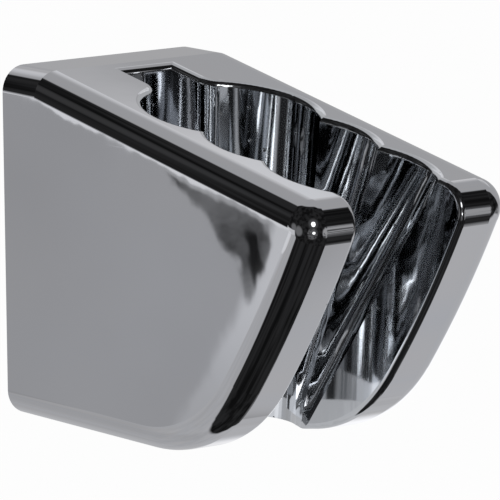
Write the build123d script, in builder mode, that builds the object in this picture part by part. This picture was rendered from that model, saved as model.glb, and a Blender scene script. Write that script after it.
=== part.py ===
from build123d import *
import math
import os

os.makedirs("parts", exist_ok=True)

# Fixed wall holder for a hand shower: one moulded and chrome-plated body.
# The wall plane is Y = 0 and the holder reaches out to -Y. X is across, Z is up.
# The origin is the middle of the wall face, halfway between the two fixing screws.

# Outer body, millimetres
height = 52.0
land_depth = 8.5            # level part of the top, next to the wall
top_slope = 10.3            # degrees that the top falls towards the front
nose_beyond = 15.4          # front seat axis to the foremost point, before rounding
toe_reach = 47.8            # wall to the front at the underside, before rounding
front_bow = 183.0           # radius of the gently bowed front
foot_radius = 30.0
nose_radius = 4.2
outer_radius = 3.8          # long radii round each flank

# Three conical seats that share one throat, and the slot for the hose
slot_width = 18.0
seat_overhang = (3.9, 3.3, 2.7)      # how far each seat is cut past the slot, on each side
seat_pitch = 0.5875         # spacing of two seats, as a share of their radii added up
seat_taper = 2.0            # degrees, half of the cone's angle
pivot_reach = 28.0          # the three axes meet here, below the holder
pivot_drop = 5.0
side_wall = 5.25            # from the rear seat to the flank, at the top
mouth_radius = 3.5          # where the pocket opens into the rear seat
lip_radius = 0.9            # top edge round the seats and the slot

# Pocket that takes the screw heads
pocket_reach = 11.0         # wall to the flat of the pocket
pocket_width = 8.8
pocket_depth = 8.0          # from its flat to the rear seat, at the top

# Fixing screws and the hollow back
screw_spacing = 26.0
screw_hole = 4.6
boss_diameter = 10.0
recess_depth = 7.0
rim_wall = 2.6
recess_corner = 1.5
cavity_depth = 17.0         # deeper hollow on each side of the pocket
cavity_height = 44.0
pocket_wall = 2.6

seat_radius = [slot_width / 2 + overhang for overhang in seat_overhang]
rear_seat_reach = pocket_reach + pocket_depth + seat_radius[0]
middle_seat_reach = rear_seat_reach + seat_pitch * (seat_radius[0] + seat_radius[1])
front_seat_reach = middle_seat_reach + seat_pitch * (seat_radius[1] + seat_radius[2])
seat_reach = (rear_seat_reach, middle_seat_reach, front_seat_reach)
nose_reach = front_seat_reach + nose_beyond
half_width = seat_radius[0] + side_wall
top = height / 2
bottom = -height / 2
slope_fall = math.tan(math.radians(top_slope))


def top_height(reach):
    """Height of the sloping top face at a distance from the wall."""
    return top - (reach - land_depth) * slope_fall


with BuildPart() as holder:
    # side outline, drawn with the distance from the wall across and height up
    side_plane = Plane(origin=(0, 0, 0), x_dir=(0, -1, 0), z_dir=(-1, 0, 0))
    nose_point = (nose_reach, top_height(nose_reach))
    toe_point = (toe_reach, bottom)
    with BuildSketch(side_plane) as side:
        with BuildLine():
            back = Line((0, bottom), (0, top))
            land = Line(back @ 1, (land_depth, top))
            slope = Line(land @ 1, nose_point)
            front = RadiusArc(slope @ 1, toe_point, front_bow)
            Line(front @ 1, back @ 0)
        make_face()
        toe_corner = side.vertices().sort_by_distance(Vector(*toe_point, 0))[0]
        fillet(toe_corner, radius=foot_radius)
        nose_corner = side.vertices().sort_by_distance(Vector(*nose_point, 0))[0]
        fillet(nose_corner, radius=nose_radius)
    extrude(amount=half_width, both=True)

    # long radii round each flank, all but at the wall
    flanks = holder.faces().sort_by(Axis.X)
    rims = flanks[0].edges() + flanks[-1].edges()
    wall_edges = holder.faces().sort_by(Axis.Y)[-1].edges()
    fillet([edge for edge in rims if edge not in wall_edges], radius=outer_radius)

    # three conical seats, each one leaning further forward
    spread = math.tan(math.radians(seat_taper))
    for reach, radius in zip(seat_reach, seat_radius):
        run = reach - pivot_reach
        rise = top_height(reach) - bottom + pivot_drop
        axis_length = math.hypot(run, rise)
        seat_plane = Plane(
            origin=(0, -pivot_reach, bottom - pivot_drop),
            x_dir=(0, rise, run),
            z_dir=(0, -run, rise),
        )
        with Locations(seat_plane):
            Cone(
                bottom_radius=radius - axis_length * spread,
                top_radius=radius + 20 * spread,
                height=axis_length + 20,
                align=(Align.CENTER, Align.CENTER, Align.MIN),
                mode=Mode.SUBTRACT,
            )

    # hose slot through the front
    with Locations((0, -pivot_reach, bottom - 5)):
        Box(
            slot_width,
            60,
            height + 10,
            align=(Align.CENTER, Align.MAX, Align.MIN),
            mode=Mode.SUBTRACT,
        )

    # pocket for the screw heads, behind the rear seat
    with Locations((0, -pocket_reach, bottom - 5)):
        Box(
            pocket_width,
            seat_reach[0] - pocket_reach,
            height + 10,
            align=(Align.CENTER, Align.MAX, Align.MIN),
            mode=Mode.SUBTRACT,
        )

    # soft corners where the pocket opens into the rear seat
    mouth = [
        edge
        for edge in holder.edges()
        if abs(abs(edge.center().X) - pocket_width / 2) < 0.3
        and edge.length > 30
        and edge.center().Y < -pocket_reach - 1
    ]
    fillet(mouth, radius=mouth_radius)

    # rounded lip round the seats, carried on down the front of the slot
    inner_limit = half_width - outer_radius - 0.3
    upward = [
        face
        for face in holder.faces().filter_by(GeomType.PLANE)
        if face.normal_at().Z > 0.9 and face.center().Z > 15
    ]
    slope_face = max(upward, key=lambda face: face.area)
    lip = [
        edge
        for edge in slope_face.edges()
        if abs(edge.center().X) < inner_limit
        and abs(edge.center().Y + land_depth) > 0.5
        and not (edge.center().Y < -69 and abs(edge.center().X) > slot_width / 2 + 0.5)
    ]
    fillet(lip, radius=lip_radius)

    # hollow back, with a boss left round each screw
    with BuildSketch(Plane.XZ) as recess:
        RectangleRounded(
            2 * (half_width - rim_wall),
            height - 2 * rim_wall,
            recess_corner,
        )
        with GridLocations(0, screw_spacing, 1, 2):
            Circle(boss_diameter / 2, mode=Mode.SUBTRACT)
    extrude(amount=recess_depth, mode=Mode.SUBTRACT)

    # a deeper cavity on each side of the pocket keeps the walls even
    cavity_inner = pocket_width / 2 + pocket_wall
    cavity_outer = half_width - rim_wall
    with BuildSketch(Plane.XZ) as cavities:
        with GridLocations(cavity_inner + cavity_outer, 0, 2, 1):
            RectangleRounded(cavity_outer - cavity_inner, cavity_height, recess_corner)
    extrude(amount=cavity_depth, mode=Mode.SUBTRACT)

    # screw holes from the wall face through to the pocket
    with BuildSketch(Plane.XZ) as screws:
        with GridLocations(0, screw_spacing, 1, 2):
            Circle(screw_hole / 2)
    extrude(amount=pocket_reach + 1, mode=Mode.SUBTRACT)

holder.part.label = "holder"
export_step(holder.part, "parts/holder.step")
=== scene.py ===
import math

import bmesh
import bpy
from mathutils import Matrix, Vector


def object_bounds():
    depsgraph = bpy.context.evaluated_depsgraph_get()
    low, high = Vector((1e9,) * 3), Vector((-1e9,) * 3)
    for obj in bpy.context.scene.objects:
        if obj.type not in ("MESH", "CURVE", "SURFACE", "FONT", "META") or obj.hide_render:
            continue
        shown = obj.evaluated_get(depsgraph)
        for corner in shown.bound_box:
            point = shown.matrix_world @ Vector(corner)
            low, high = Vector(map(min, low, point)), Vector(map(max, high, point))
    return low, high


bl_info = {
    "name": "Shower holder dressing",
    "version": (1, 0, 0),
    "blender": (4, 5, 0),
    "location": "3D View > Sidebar > Holder",
    "description": "Chrome plating, studio and camera for a hand shower wall holder",
    "category": "Object",
}

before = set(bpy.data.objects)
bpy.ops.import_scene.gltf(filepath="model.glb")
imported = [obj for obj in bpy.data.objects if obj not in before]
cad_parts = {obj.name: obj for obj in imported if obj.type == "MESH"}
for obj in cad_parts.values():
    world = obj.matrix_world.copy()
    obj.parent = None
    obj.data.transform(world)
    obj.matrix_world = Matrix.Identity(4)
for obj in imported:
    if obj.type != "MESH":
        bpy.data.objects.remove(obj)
solid_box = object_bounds()


def new_material(name):
    """An empty node material and its output."""
    material = bpy.data.materials.new(name)
    material.use_nodes = True
    nodes = material.node_tree.nodes
    nodes.clear()
    output = nodes.new("ShaderNodeOutputMaterial")
    return material, nodes, material.node_tree.links, output


def math_node(nodes, links, operation, *values):
    """A Math node; each value is a socket or a number."""
    node = nodes.new("ShaderNodeMath")
    node.operation = operation
    for socket, value in zip(node.inputs, values):
        if isinstance(value, bpy.types.NodeSocket):
            links.new(value, socket)
        else:
            socket.default_value = value
    return node.outputs[0]


def ramp_between(nodes, links, value, low, high, to_low=0.0, to_high=1.0):
    """Smooth step of value from low to high."""
    node = nodes.new("ShaderNodeMapRange")
    node.interpolation_type = "SMOOTHSTEP"
    node.clamp = True
    links.new(value, node.inputs["Value"])
    node.inputs["From Min"].default_value = low
    node.inputs["From Max"].default_value = high
    node.inputs["To Min"].default_value = to_low
    node.inputs["To Max"].default_value = to_high
    return node.outputs[0]


def noise(nodes, links, vector, scale, detail=2.0, roughness=0.5):
    """Noise, from 0 to 1, at the place or direction that the vector gives."""
    node = nodes.new("ShaderNodeTexNoise")
    node.inputs["Scale"].default_value = scale
    node.inputs["Detail"].default_value = detail
    node.inputs["Roughness"].default_value = roughness
    links.new(vector, node.inputs["Vector"])
    return node.outputs[0]


class ChromeSettings(bpy.types.PropertyGroup):
    """Colour and polish of the plating."""

    plate_colour: bpy.props.FloatVectorProperty(
        name="Plate colour",
        description="Colour that the chrome gives to what it reflects",
        subtype="COLOR",
        size=3,
        min=0.0,
        max=1.0,
        default=(0.68, 0.685, 0.705),
    )
    hollow_colour: bpy.props.FloatVectorProperty(
        name="Hollow colour",
        description="Colour of the thin plating in the hollow back",
        subtype="COLOR",
        size=3,
        min=0.0,
        max=1.0,
        default=(0.38, 0.385, 0.39),
    )
    # painted light: the socket's walls get a paler plate colour than the rest, so their
    # reflections come out brighter and stand in for light bounced round inside the socket
    socket_painted_light_colour: bpy.props.FloatVectorProperty(
        name="Socket colour",
        description="Colour of the fresh plating inside the socket",
        subtype="COLOR",
        size=3,
        min=0.0,
        max=1.0,
        default=(0.80, 0.82, 0.845),
    )
    polish: bpy.props.FloatProperty(
        name="Polish",
        description="Roughness of the polished faces",
        default=0.014,
        min=0.0,
        max=1.0,
    )
    haze: bpy.props.FloatProperty(
        name="Haze",
        description="Roughness that wiping marks add in places",
        default=0.014,
        min=0.0,
        max=1.0,
    )
    socket_haze: bpy.props.FloatProperty(
        name="Socket haze",
        description="Roughness that wear adds inside the socket",
        default=0.038,
        min=0.0,
        max=1.0,
    )
    flow_height: bpy.props.FloatProperty(
        name="Flow height",
        description="Height of the flow lines inside the socket",
        subtype="DISTANCE",
        unit="LENGTH",
        default=0.000012,
        min=0.0,
    )
    drop_height: bpy.props.FloatProperty(
        name="Drop height",
        description="Height of the dried water marks inside the socket",
        subtype="DISTANCE",
        unit="LENGTH",
        default=0.00004,
        min=0.0,
    )
    waviness: bpy.props.FloatProperty(
        name="Waviness",
        description="Height of the moulding's slight waves",
        subtype="DISTANCE",
        unit="LENGTH",
        default=0.000006,
        min=0.0,
    )


class StudioSettings(bpy.types.PropertyGroup):
    """Light, floor and camera."""

    floor_colour: bpy.props.FloatVectorProperty(
        name="Floor colour",
        description="Colour of the plain floor",
        subtype="COLOR",
        size=3,
        min=0.0,
        max=1.0,
        default=(0.985, 0.985, 0.985),
    )
    floor_drop: bpy.props.FloatProperty(
        name="Floor drop",
        description="Distance of the floor below the holder's underside",
        subtype="DISTANCE",
        unit="LENGTH",
        default=0.70,
        min=0.0,
    )
    tent_radius: bpy.props.FloatProperty(
        name="Tent radius",
        description="Radius of the light tent round the holder",
        subtype="DISTANCE",
        unit="LENGTH",
        default=0.60,
        min=0.1,
    )
    dark_level: bpy.props.FloatProperty(
        name="Dark level",
        description="Brightness of the tent's dark cloth",
        default=0.016,
        min=0.0,
    )
    tent_gain: bpy.props.FloatProperty(
        name="Tent gain",
        description="Strength that every level of the tent is multiplied by",
        default=0.81,
        min=0.0,
    )
    room_level: bpy.props.FloatProperty(
        name="Room level",
        description="Brightness of the pale patches on the camera's side",
        default=0.50,
        min=0.0,
    )
    cool_colour: bpy.props.FloatVectorProperty(
        name="Cool colour",
        description="Tint of the cool parts of the room",
        subtype="COLOR",
        size=3,
        min=0.0,
        max=1.0,
        default=(0.92, 0.945, 1.0),
    )
    warm_colour: bpy.props.FloatVectorProperty(
        name="Warm colour",
        description="Tint of the warm parts of the room",
        subtype="COLOR",
        size=3,
        min=0.0,
        max=1.0,
        default=(1.0, 0.98, 0.975),
    )
    back_level: bpy.props.FloatProperty(
        name="Back level",
        description="Brightness of the pale panel behind and above the holder",
        default=0.56,
        min=0.0,
    )


def mix_colours(nodes, links, factor, first, second):
    """Mixes two colours; each is a socket or a colour."""
    node = nodes.new("ShaderNodeMix")
    node.data_type = "RGBA"
    links.new(factor, node.inputs["Factor"])
    for name, value in (("A", first), ("B", second)):
        if isinstance(value, bpy.types.NodeSocket):
            links.new(value, node.inputs[name])
        else:
            node.inputs[name].default_value = (*value, 1.0)
    return node.outputs["Result"]


def stretched(nodes, links, vector, scale, rotation=(0.0, 0.0, 0.0)):
    """The vector turned and then stretched."""
    node = nodes.new("ShaderNodeMapping")
    node.vector_type = "POINT"
    node.inputs["Scale"].default_value = scale
    node.inputs["Rotation"].default_value = rotation
    links.new(vector, node.inputs["Vector"])
    return node.outputs[0]


def box_mask(nodes, links, axes, low, high, edge):
    """1 inside a box of object space and 0 outside, with soft edges."""
    mask = None
    for axis, start, stop in zip(axes, low, high):
        rise = ramp_between(nodes, links, axis, start - edge, start + edge)
        fall = ramp_between(nodes, links, axis, stop - edge, stop + edge, 1.0, 0.0)
        side = math_node(nodes, links, "MULTIPLY", rise, fall)
        mask = side if mask is None else math_node(nodes, links, "MULTIPLY", mask, side)
    return mask


# low and high corners, in metres, of the boxes that hold the hollow back and the socket
RECESS_BOX = ((-1.0, -0.00705, -0.0235), (0.0156, 1.0, 0.0235))
CAVITY_BOX = ((0.0069, -0.01705, -0.0221), (0.0156, 1.0, 0.0221))
SOCKET_BOX = ((-0.0134, -0.0705, -0.0262), (0.0134, -0.0105, 0.0262))
HOLLOW_EDGE = 0.00005
SOCKET_EDGE = 0.0006


def hollow_mask(nodes, links, axes):
    """Picks the hollow back: a shallow recess and a deeper cavity on each side."""
    sideways = math_node(nodes, links, "ABSOLUTE", axes[0])
    folded = (sideways, axes[1], axes[2])
    recess = box_mask(nodes, links, folded, *RECESS_BOX, HOLLOW_EDGE)
    cavity = box_mask(nodes, links, folded, *CAVITY_BOX, HOLLOW_EDGE)
    return math_node(nodes, links, "MAXIMUM", recess, cavity)


def socket_mask(nodes, links, axes, normal):
    """Picks the side walls of the seats, the pocket and the hose slot."""
    box = box_mask(nodes, links, axes, *SOCKET_BOX, SOCKET_EDGE)
    split = nodes.new("ShaderNodeSeparateXYZ")
    links.new(normal, split.inputs[0])
    sideways = math_node(nodes, links, "ABSOLUTE", split.outputs["X"])
    walls = ramp_between(nodes, links, sideways, 0.12, 0.30)
    return math_node(nodes, links, "MULTIPLY", box, walls)


# roughness that fine scratches and the unpolished hollow back add
HAIR_ROUGHNESS = 0.03
HOLLOW_ROUGHNESS = 0.27

# how fine the plating's marks are, per metre, and how the scratches lie
TONE_SCALE = 28.0
WIPE_SCALE = 55.0
WAVE_SCALE = 110.0
DROP_SCALE = 620.0
HAIR_STRETCH = (700.0, 60.0, 2600.0)
HAIR_TURN = (0.35, 0.15, 0.6)
FLOW_STRETCH = (380.0, 380.0, 20.0)
TONE_SPREAD = 0.04


def chrome_material(settings):
    """Bright chrome plate with the slight unevenness of a plated moulding."""
    material, nodes, links, output = new_material("chrome_plate")
    shader = nodes.new("ShaderNodeBsdfPrincipled")
    links.new(shader.outputs[0], output.inputs["Surface"])
    shader.inputs["Metallic"].default_value = 1.0
    coordinates = nodes.new("ShaderNodeTexCoord")
    place = coordinates.outputs["Object"]
    split = nodes.new("ShaderNodeSeparateXYZ")
    links.new(place, split.inputs[0])
    axes = (split.outputs["X"], split.outputs["Y"], split.outputs["Z"])
    hollow = hollow_mask(nodes, links, axes)
    inside = socket_mask(nodes, links, axes, coordinates.outputs["Normal"])

    # the plate's own tone drifts a little, the socket's walls get painted light in a paler plate
    # colour that brightens their reflections, and the hollow back is dull
    drift = noise(nodes, links, place, TONE_SCALE, 3.0)
    darker = [value * (1.0 - TONE_SPREAD) for value in settings.plate_colour]
    lighter = [value * (1.0 + TONE_SPREAD) for value in settings.plate_colour]
    tone = mix_colours(nodes, links, drift, darker, lighter)
    tone = mix_colours(nodes, links, inside, tone, settings.socket_painted_light_colour)
    tone = mix_colours(nodes, links, hollow, tone, settings.hollow_colour)
    links.new(tone, shader.inputs["Base Color"])

    # polish, wiping marks and fine scratches
    wipes = noise(nodes, links, place, WIPE_SCALE, 4.0)
    wiped = ramp_between(nodes, links, wipes, 0.45, 0.75, 0.0, settings.haze)
    hair_place = stretched(nodes, links, place, HAIR_STRETCH, HAIR_TURN)
    hair_noise = noise(nodes, links, hair_place, 1.0)
    hairs = ramp_between(nodes, links, hair_noise, 0.70, 0.80, 0.0, HAIR_ROUGHNESS)
    polish = math_node(nodes, links, "ADD", wiped, hairs)
    polish = math_node(nodes, links, "ADD", polish, settings.polish)
    polish = math_node(nodes, links, "MULTIPLY_ADD", inside, settings.socket_haze, polish)
    roughness = math_node(nodes, links, "MULTIPLY_ADD", hollow, HOLLOW_ROUGHNESS, polish)
    links.new(roughness, shader.inputs["Roughness"])

    # slight waves of the moulding; flow lines and water marks inside the socket
    waves = noise(nodes, links, place, WAVE_SCALE, 2.0, 0.45)
    flow_place = stretched(nodes, links, place, FLOW_STRETCH)
    flow = noise(nodes, links, flow_place, 1.0, 2.0, 0.5)
    flow = math_node(nodes, links, "MULTIPLY", flow, inside)
    drops = nodes.new("ShaderNodeTexVoronoi")
    drops.inputs["Scale"].default_value = DROP_SCALE
    links.new(place, drops.inputs["Vector"])
    drop_height = ramp_between(nodes, links, drops.outputs["Distance"], 0.04, 0.20, 1.0, 0.0)
    cell = nodes.new("ShaderNodeSeparateColor")
    links.new(drops.outputs["Color"], cell.inputs[0])
    rare = ramp_between(nodes, links, cell.outputs[0], 0.80, 0.82)
    drop_height = math_node(nodes, links, "MULTIPLY", drop_height, rare)
    drop_height = math_node(nodes, links, "MULTIPLY", drop_height, inside)
    normal = None
    layers = (
        (waves, settings.waviness),
        (flow, settings.flow_height),
        (drop_height, settings.drop_height),
    )
    for height, distance in layers:
        bump = nodes.new("ShaderNodeBump")
        bump.inputs["Strength"].default_value = 1.0
        bump.inputs["Distance"].default_value = distance
        links.new(height, bump.inputs["Height"])
        if normal is not None:
            links.new(normal, bump.inputs["Normal"])
        normal = bump.outputs[0]
    links.new(normal, shader.inputs["Normal"])
    return material


class HOLDER_OT_plate_body(bpy.types.Operator):
    """Gives the moulded body its chrome plating"""

    bl_idname = "holder.plate_body"
    bl_label = "Plate the body"

    def execute(self, context):
        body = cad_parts["holder"]
        chrome = chrome_material(context.scene.holder_chrome)
        for slot in body.material_slots:
            slot.material = chrome
        return {"FINISHED"}


# the camera, as fitted to the photograph
CAMERA_PLACE = Vector((-0.5349, -0.7678, 0.1561))
CAMERA_YAW = 36.17
CAMERA_PITCH = 9.68
CAMERA_ROLL = -0.64
CAMERA_LENS = 459.2

# faces of the holder that the tent's painted reflections are fitted to; the bow is in
# millimetres, the rest in metres
MILLIMETRES = 1000.0
TOP_SLOPE = math.radians(10.3)
FRONT_BOW = 179.2
FRONT_BOW_CENTRE = (-85.5, 99.4)
FLANK_CORNER = Vector((-0.01815, -0.0704, 0.0111))
TOP_MIDDLE = Vector((0.0, -0.0367, 0.0209))
FLANK_NORMAL = Vector((-1.0, 0.0, 0.0))
TOP_NORMAL = Vector((0.0, -math.sin(TOP_SLOPE), math.cos(TOP_SLOPE)))
DOWN_SLOPE = Vector((0.0, -math.cos(TOP_SLOPE), -math.sin(TOP_SLOPE)))
SIDEWAYS = Vector((1.0, 0.0, 0.0))
UPWARD = Vector((0.0, 0.0, 1.0))
AWAY_FROM_WALL = Vector((0.0, -1.0, 0.0))


def toward(azimuth, elevation):
    """Unit vector; azimuth 0 is +Y and 90 is +X, in degrees."""
    turn = math.radians(azimuth)
    rise = math.radians(elevation)
    level = math.cos(rise)
    return Vector((math.sin(turn) * level, math.cos(turn) * level, math.sin(rise)))


def facing(nodes, links, direction, vector):
    """Dot product of a direction socket with a fixed vector."""
    node = nodes.new("ShaderNodeVectorMath")
    node.operation = "DOT_PRODUCT"
    links.new(direction, node.inputs[0])
    node.inputs[1].default_value = vector
    return node.outputs["Value"]


def panel(nodes, links, direction, azimuth, elevation, half_angle, softness, level):
    """A round soft-edged panel on the tent; all angles in degrees."""
    dot = facing(nodes, links, direction, toward(azimuth, elevation))
    low = math.cos(math.radians(half_angle + softness))
    high = math.cos(math.radians(max(half_angle - softness, 0.0)))
    return ramp_between(nodes, links, dot, low, high, 0.0, level)


class FlatMirror:
    """Tells which part of the tent the camera sees at each place of a flat face, so that
    reflections can be painted at set places on it.
    """

    def __init__(self, nodes, links, direction, centre, radius, origin, normal):
        self.nodes = nodes
        self.links = links
        self.direction = direction
        self.offset = origin - centre
        self.radius = radius
        sight = origin - CAMERA_PLACE
        self.leaving = (sight - 2 * sight.dot(normal) * normal).normalized()
        self.spread = 1.0 + radius / sight.length

    def place(self, along, other):
        """Millimetres from the origin along one of two axes of the face."""
        across = other.cross(self.leaving).normalized()
        stretch = along.dot(across) * self.spread
        gain = MILLIMETRES * self.radius / stretch
        start = MILLIMETRES * self.offset.dot(across) / stretch
        value = facing(self.nodes, self.links, self.direction, across)
        scaled = math_node(self.nodes, self.links, "MULTIPLY", value, gain)
        return math_node(self.nodes, self.links, "SUBTRACT", scaled, start)

    def window(self, half_angle, softness):
        """1 for the directions near the one that leaves the face's origin."""
        dot = facing(self.nodes, self.links, self.direction, self.leaving)
        low = math.cos(math.radians(half_angle + softness))
        high = math.cos(math.radians(half_angle - softness))
        return ramp_between(self.nodes, self.links, dot, low, high)


def tent_direction(nodes, links, centre):
    """Unit vector from the middle of the tent to the shaded point."""
    offset = nodes.new("ShaderNodeVectorMath")
    offset.operation = "SUBTRACT"
    links.new(nodes.new("ShaderNodeTexCoord").outputs["Object"], offset.inputs[0])
    offset.inputs[1].default_value = centre
    unit = nodes.new("ShaderNodeVectorMath")
    unit.operation = "NORMALIZE"
    links.new(offset.outputs[0], unit.inputs[0])
    return unit.outputs[0]


def product(nodes, links, *values):
    """All the values multiplied."""
    total = values[0]
    for value in values[1:]:
        total = math_node(nodes, links, "MULTIPLY", total, value)
    return total


def band(nodes, links, value, middle, inner, outer):
    """1 within inner of the middle value and 0 beyond outer."""
    gap = math_node(nodes, links, "ABSOLUTE", math_node(nodes, links, "SUBTRACT", value, middle))
    return ramp_between(nodes, links, gap, inner, outer, 1.0, 0.0)


def flank_painted_reflection(nodes, links, direction, centre, radius):
    """Painted reflection on the flank: dark patches, painted shade and bright strips in the
    tent, placed through the camera's mirror at set millimetres on the flank.
    """
    mirror = FlatMirror(nodes, links, direction, centre, radius, FLANK_CORNER, FLANK_NORMAL)
    over_top = mirror.place(TOP_NORMAL, DOWN_SLOPE)
    reach = mirror.place(AWAY_FROM_WALL, UPWARD)
    reach = math_node(nodes, links, "ADD", reach, -MILLIMETRES * FLANK_CORNER.y)
    height = mirror.place(UPWARD, AWAY_FROM_WALL)
    height = math_node(nodes, links, "ADD", height, MILLIMETRES * FLANK_CORNER.z)

    # distance past the line where the front rounding starts
    bow_reach = math_node(nodes, links, "SUBTRACT", reach, FRONT_BOW_CENTRE[0])
    bow_height = math_node(nodes, links, "SUBTRACT", height, FRONT_BOW_CENTRE[1])
    squares = math_node(nodes, links, "MULTIPLY", bow_height, bow_height)
    squares = math_node(nodes, links, "MULTIPLY_ADD", bow_reach, bow_reach, squares)
    from_centre = math_node(nodes, links, "SQRT", squares)
    past_front = math_node(nodes, links, "SUBTRACT", from_centre, FRONT_BOW)

    # painted dark reflection: a wedge under the top edge that runs down beside the front edge
    under_top = ramp_between(nodes, links, over_top, -1.4, -0.9, 1.0, 0.0)
    behind_front = ramp_between(nodes, links, past_front, -2.3, -1.5, 1.0, 0.0)
    corner = math_node(nodes, links, "ADD", past_front, over_top)
    off_corner = ramp_between(nodes, links, corner, -6.6, -5.2, 1.0, 0.0)
    wisps = noise(nodes, links, direction, 60.0, 4.0, 0.65)
    slant = math_node(nodes, links, "MULTIPLY_ADD", reach, 0.6, height)
    slant = math_node(nodes, links, "MULTIPLY_ADD", wisps, 3.0, slant)
    slant_mask = ramp_between(nodes, links, slant, 40.8, 42.6)
    steep = math_node(nodes, links, "MULTIPLY_ADD", height, 0.3, reach)
    steep = math_node(nodes, links, "MULTIPLY_ADD", wisps, 2.0, steep)
    steep_mask = ramp_between(nodes, links, steep, 60.2, 61.6)
    lower_end = ramp_between(nodes, links, height, -6.0, -1.5)
    steep_mask = math_node(nodes, links, "MULTIPLY", steep_mask, lower_end)
    painted_dark_patch = math_node(nodes, links, "MAXIMUM", slant_mask, steep_mask)
    cloud = ramp_between(nodes, links, wisps, 0.3, 0.7, 0.58, 0.86)
    painted_dark_patch = product(nodes, links, painted_dark_patch, cloud)
    leaning = math_node(nodes, links, "MULTIPLY_ADD", height, 0.33, reach)
    core = product(
        nodes,
        links,
        band(nodes, links, leaning, 64.2, 1.1, 3.0),
        band(nodes, links, height, 4.6, 4.0, 8.0),
        0.97,
    )
    painted_dark_patch = math_node(nodes, links, "MAXIMUM", painted_dark_patch, core)
    near_flank = mirror.window(9.0, 3.0)
    painted_dark_patch = product(nodes, links, painted_dark_patch, under_top, behind_front, off_corner, near_flank)

    # painted shade: the tent is dimmed where the flank reflects it, so the flank is a little
    # darker towards the wall
    shade = ramp_between(nodes, links, reach, 0.0, 45.0, 0.91, 1.0)

    # painted highlights: bright strips in the tent, placed so that they show beside the flank's
    # front edge and along its top edge
    strip = ramp_between(nodes, links, past_front, -4.6, -2.0)
    fading = ramp_between(nodes, links, height, -22.0, 6.0, 0.3, 1.0)
    strip = math_node(nodes, links, "MULTIPLY", strip, fading)
    rim = product(
        nodes,
        links,
        ramp_between(nodes, links, over_top, -0.8, -0.4),
        ramp_between(nodes, links, over_top, 25.0, 50.0, 1.0, 0.0),
        mirror.window(20.0, 6.0),
    )
    return painted_dark_patch, strip, rim, shade


def top_glow(nodes, links, direction, centre, radius):
    """Painted reflection: brighter light in the tent, placed through the camera's mirror so that
    it shows in the near side of the top face.
    """
    mirror = FlatMirror(nodes, links, direction, centre, radius, TOP_MIDDLE, TOP_NORMAL)
    sideways = mirror.place(SIDEWAYS, DOWN_SLOPE)
    forward = mirror.place(DOWN_SLOPE, SIDEWAYS)
    near_side = ramp_between(nodes, links, sideways, -13.0, 2.0, 1.0, 0.0)
    to_front = ramp_between(nodes, links, forward, -30.0, 28.0, 0.2, 1.0)
    upright = facing(nodes, links, direction, UPWARD)
    not_high = ramp_between(nodes, links, upright, 0.50, 0.72, 1.0, 0.0)
    return product(nodes, links, near_side, to_front, not_high, mirror.window(38.0, 6.0))


# azimuth, elevation, half angle, softness and level
SIDE_CLOTH = (90.0, -32.0, 29.0, 5.0, 0.70)


def side_cloth(nodes, links, direction):
    """Pale cloth on the right, dull and blotched along its upper part."""
    cloth = panel(nodes, links, direction, *SIDE_CLOTH)
    upright = facing(nodes, links, direction, UPWARD)
    worn = ramp_between(nodes, links, upright, -0.34, -0.27)
    blotches = noise(nodes, links, direction, 9.0, 4.0, 0.65)
    marks = ramp_between(nodes, links, blotches, 0.40, 0.62, 0.22, 0.62)
    unmarked = math_node(nodes, links, "SUBTRACT", 1.0, marks)
    lost = math_node(nodes, links, "MULTIPLY", worn, unmarked)
    kept = math_node(nodes, links, "SUBTRACT", 1.0, lost)
    return math_node(nodes, links, "MULTIPLY", cloth, kept)


def room_patch(nodes, links, direction, azimuth, elevation, half_angle, level):
    """A pale patch of the room with dark blotches in it."""
    patch = panel(nodes, links, direction, azimuth, elevation, half_angle, 4.0, 1.0)
    blotches = noise(nodes, links, direction, 9.0, 3.0, 0.6)
    marks = ramp_between(nodes, links, blotches, 0.42, 0.52, 0.25, 1.0)
    return product(nodes, links, patch, marks, level)


# the pale table lies on the side that these two vectors point to
TABLE_FRONT = (0.0, 1.0, 0.36)
TABLE_LEFT = (0.259, 0.966, 0.0)

# levels before the tent's gain: the table on the left and on the right, the painted highlight
# strip that is added to it, the painted glow that is added to the wall for the top face, and the
# painted white line along the flank's top edge
LEFT_LEVEL = 0.53
RIGHT_LEVEL = 0.66
STRIP_LEVEL = 0.36
TOP_GLOW_LEVEL = 0.42
RIM_LEVEL = 1.1

# azimuth, elevation, half angle and softness of the pale wall behind
BACK_PANEL = (50.0, 30.0, 53.0, 2.0)

# the same and the level of a glow that is added low at the back
LOW_GLOW = (49.0, -21.0, 9.0, 8.0, 0.8)

# the same of the round panels: one high above, and five dim ones that keep the dark side
# from being quite black
PANELS = (
    (40.0, 66.0, 22.0, 3.0, 0.56),
    (-38.0, 24.0, 2.0, 9.0, 0.06),
    (-95.0, -5.0, 14.0, 5.0, 0.22),
    (-72.0, 0.0, 12.0, 5.0, 0.22),
    (-155.0, 22.0, 2.0, 24.0, 0.12),
    (-155.0, -10.0, 2.0, 20.0, 0.12),
)

# azimuth, elevation, half angle and share of the room's level
ROOM_PATCHES = (
    (150.0, -10.0, 17.0, 1.0),
    (-150.0, -14.0, 20.0, 0.36),
)

# half the floor's width in metres, its roughness and how little its duller places lose
FLOOR_SIZE = 40.0
FLOOR_ROUGHNESS = 0.85
FLOOR_DULLING = 0.995

# metres from the middle of the holder to each lamp, then each lamp's name, azimuth,
# elevation, width, height and level
LAMP_DISTANCE = 0.50
LAMPS = (
    ("high_lamp", -155.0, 20.0, 0.14, 0.14, 2.4),
    ("low_lamp", -156.0, -10.0, 0.10, 0.08, 2.4),
)


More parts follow.
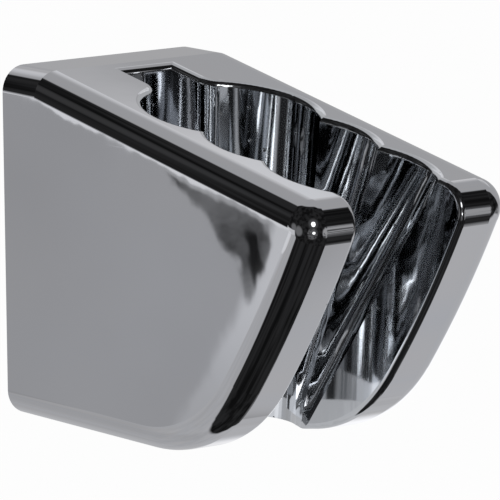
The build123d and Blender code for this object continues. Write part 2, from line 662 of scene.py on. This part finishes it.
def table_level(nodes, links, direction, painted_dark_patch, strip, shade):
    """Pale table: ends nearer than the holder, below the horizon and on the left."""
    front = facing(nodes, links, direction, TABLE_FRONT)
    front_edge = ramp_between(nodes, links, front, -0.03, 0.03)
    downward = facing(nodes, links, direction, (0.0, 0.0, -1.0))
    below = ramp_between(nodes, links, downward, 0.05, 0.09)
    left = facing(nodes, links, direction, TABLE_LEFT)
    left_edge = ramp_between(nodes, links, left, -0.03, 0.03)
    sideways = facing(nodes, links, direction, SIDEWAYS)
    across = ramp_between(nodes, links, sideways, -0.7, 0.7, LEFT_LEVEL, RIGHT_LEVEL)
    clouds = noise(nodes, links, direction, 7.0, 3.0)
    mottle = ramp_between(nodes, links, clouds, 0.3, 0.7, 0.95, 1.05)
    # painted reflections on the flank: the bright strip is added to the table's level, and the
    # dark patches and the painted shade are taken out of it
    level = math_node(nodes, links, "MULTIPLY_ADD", strip, STRIP_LEVEL, across)
    clear = math_node(nodes, links, "SUBTRACT", 1.0, painted_dark_patch)
    return product(nodes, links, front_edge, below, left_edge, level, mottle, clear, shade)


def tent_material(settings, centre):
    """Dark cloth with a pale table and pale panels, seen in the chrome, with painted reflections
    fitted to the flank and the top face.
    """
    material, nodes, links, output = new_material("tent_cloth")
    direction = tent_direction(nodes, links, centre)
    radius = settings.tent_radius
    # painted reflections on the flank, placed through the camera's mirror
    painted_dark_patch, strip, rim, shade = flank_painted_reflection(nodes, links, direction, centre, radius)
    table = table_level(nodes, links, direction, painted_dark_patch, strip, shade)

    # pale wall behind and above, with a painted reflection: brighter where the near side of the
    # top shows it
    back = panel(nodes, links, direction, *BACK_PANEL, settings.back_level)
    glow = top_glow(nodes, links, direction, centre, radius)
    back = math_node(nodes, links, "MULTIPLY_ADD", glow, TOP_GLOW_LEVEL, back)

    lights = [back, math_node(nodes, links, "MULTIPLY", rim, RIM_LEVEL)]
    lights.append(side_cloth(nodes, links, direction))
    lights.extend(panel(nodes, links, direction, *part) for part in PANELS)
    total = table
    for light in lights:
        total = math_node(nodes, links, "MAXIMUM", total, light)
    low_glow = panel(nodes, links, direction, *LOW_GLOW)
    total = math_node(nodes, links, "ADD", low_glow, total)
    for azimuth, elevation, half_angle, share in ROOM_PATCHES:
        level = settings.room_level * share
        patch = room_patch(nodes, links, direction, azimuth, elevation, half_angle, level)
        total = math_node(nodes, links, "MAXIMUM", total, patch)
    folds = noise(nodes, links, direction, 5.0, 3.0, 0.55)
    darkest = 0.5 * settings.dark_level
    palest = 2.0 * settings.dark_level
    dark = ramp_between(nodes, links, folds, 0.35, 0.65, darkest, palest)
    total = math_node(nodes, links, "MAXIMUM", total, dark)
    total = math_node(nodes, links, "MULTIPLY", total, settings.tent_gain)

    # cool and warm parts of the room
    drift = noise(nodes, links, direction, 9.0, 2.0)
    tint = mix_colours(nodes, links, drift, settings.cool_colour, settings.warm_colour)
    shine = nodes.new("ShaderNodeEmission")
    links.new(tint, shine.inputs["Color"])
    links.new(total, shine.inputs["Strength"])
    links.new(shine.outputs[0], output.inputs["Surface"])
    return material


def add_lamp(scene, centre, name, azimuth, elevation, width, height, level):
    """A soft oval lamp whose face shows at the given level."""
    data = bpy.data.lights.new(name, "AREA")
    data.shape = "ELLIPSE"
    data.size = width
    data.size_y = height
    data.energy = level * math.pi * math.pi / 4 * width * height
    lamp = bpy.data.objects.new(name, data)
    scene.collection.objects.link(lamp)
    outward = toward(azimuth, elevation)
    lamp.location = centre + outward * LAMP_DISTANCE
    lamp.rotation_mode = "QUATERNION"
    lamp.rotation_quaternion = outward.to_track_quat("Z", "Y")
    lamp.visible_camera = False


class HOLDER_OT_set_studio(bpy.types.Operator):
    """Sets the floor, the light tent, the lamps and the camera"""

    bl_idname = "holder.set_studio"
    bl_label = "Set the studio"

    def execute(self, context):
        scene = context.scene
        settings = scene.holder_studio
        scene.view_settings.view_transform = "Standard"
        centre = (solid_box[0] + solid_box[1]) / 2

        # camera
        yaw = math.radians(CAMERA_YAW)
        look = toward(CAMERA_YAW, -CAMERA_PITCH)
        across = Vector((math.cos(yaw), -math.sin(yaw), 0.0))
        upward = across.cross(look)
        turn = Matrix((across, upward, -look)).transposed()
        camera_data = bpy.data.cameras.new("camera")
        camera_data.lens = CAMERA_LENS
        camera = bpy.data.objects.new("camera", camera_data)
        scene.collection.objects.link(camera)
        roll = Matrix.Rotation(math.radians(CAMERA_ROLL), 3, "Z")
        camera.matrix_world = Matrix.Translation(CAMERA_PLACE) @ (turn @ roll).to_4x4()
        scene.camera = camera

        # even white light from all round
        world = bpy.data.worlds.new("studio")
        scene.world = world
        world.use_nodes = True
        sky = world.node_tree.nodes["Background"]
        sky.inputs["Color"].default_value = (1.0, 1.0, 1.0, 1.0)
        sky.inputs["Strength"].default_value = 1.0

        # floor
        mesh = bpy.data.meshes.new("floor")
        grid = bmesh.new()
        bmesh.ops.create_grid(grid, x_segments=1, y_segments=1, size=FLOOR_SIZE)
        low = solid_box[0][2] - settings.floor_drop
        bmesh.ops.translate(grid, verts=grid.verts, vec=(0.0, 0.0, low))
        grid.to_mesh(mesh)
        grid.free()
        floor = bpy.data.objects.new("floor", mesh)
        scene.collection.objects.link(floor)
        material, nodes, links, output = new_material("pale_floor")
        shader = nodes.new("ShaderNodeBsdfPrincipled")
        shader.inputs["Roughness"].default_value = FLOOR_ROUGHNESS
        shader.inputs["Specular IOR Level"].default_value = 0.0
        place = nodes.new("ShaderNodeTexCoord").outputs["Object"]
        mottle = nodes.new("ShaderNodeMix")
        mottle.data_type = "RGBA"
        links.new(noise(nodes, links, place, 6.0, 4.0), mottle.inputs["Factor"])
        duller = [value * FLOOR_DULLING for value in settings.floor_colour]
        mottle.inputs["A"].default_value = (*duller, 1.0)
        mottle.inputs["B"].default_value = (*settings.floor_colour, 1.0)
        links.new(mottle.outputs["Result"], shader.inputs["Base Color"])
        links.new(shader.outputs[0], output.inputs["Surface"])
        mesh.materials.append(material)

        # light tent: what the chrome reflects; the camera looks in through its wall
        tent_mesh = bpy.data.meshes.new("tent")
        ball = bmesh.new()
        bmesh.ops.create_icosphere(ball, subdivisions=5, radius=settings.tent_radius)
        bmesh.ops.translate(ball, verts=ball.verts, vec=centre)
        bmesh.ops.reverse_faces(ball, faces=ball.faces)
        for face in ball.faces:
            face.smooth = True
        ball.to_mesh(tent_mesh)
        ball.free()
        tent = bpy.data.objects.new("tent", tent_mesh)
        scene.collection.objects.link(tent)
        tent_mesh.materials.append(tent_material(settings, centre))
        tent.visible_camera = False
        tent.visible_diffuse = False
        tent.visible_shadow = False
        tent.visible_transmission = False
        tent.visible_volume_scatter = False

        # two lamps beside the camera: bright spots on the corners and streaks in the socket
        for lamp in LAMPS:
            add_lamp(scene, centre, *lamp)
        return {"FINISHED"}


CHROME_FIELDS = (
    "plate_colour",
    "socket_painted_light_colour",
    "hollow_colour",
    "polish",
    "haze",
    "socket_haze",
    "flow_height",
    "drop_height",
    "waviness",
)
STUDIO_FIELDS = (
    "floor_colour",
    "floor_drop",
    "tent_radius",
    "tent_gain",
    "dark_level",
    "back_level",
    "room_level",
    "cool_colour",
    "warm_colour",
)


class HOLDER_PT_panel(bpy.types.Panel):
    """Lists the steps that dress the holder"""

    bl_idname = "HOLDER_PT_panel"
    bl_label = "Holder"
    bl_space_type = "VIEW_3D"
    bl_region_type = "UI"
    bl_category = "Holder"

    def draw(self, context):
        layout = self.layout
        chrome = context.scene.holder_chrome
        for name in CHROME_FIELDS:
            layout.prop(chrome, name)
        layout.operator("holder.plate_body")
        studio = context.scene.holder_studio
        for name in STUDIO_FIELDS:
            layout.prop(studio, name)
        layout.operator("holder.set_studio")


CLASSES = (
    ChromeSettings,
    StudioSettings,
    HOLDER_OT_plate_body,
    HOLDER_OT_set_studio,
    HOLDER_PT_panel,
)


def register():
    for cls in CLASSES:
        bpy.utils.register_class(cls)
    bpy.types.Scene.holder_chrome = bpy.props.PointerProperty(type=ChromeSettings)
    bpy.types.Scene.holder_studio = bpy.props.PointerProperty(type=StudioSettings)


def unregister():
    del bpy.types.Scene.holder_studio
    del bpy.types.Scene.holder_chrome
    for cls in reversed(CLASSES):
        bpy.utils.unregister_class(cls)


def main():
    register()
    bpy.ops.holder.plate_body()
    bpy.ops.holder.set_studio()


if __name__ == "__main__":
    main()
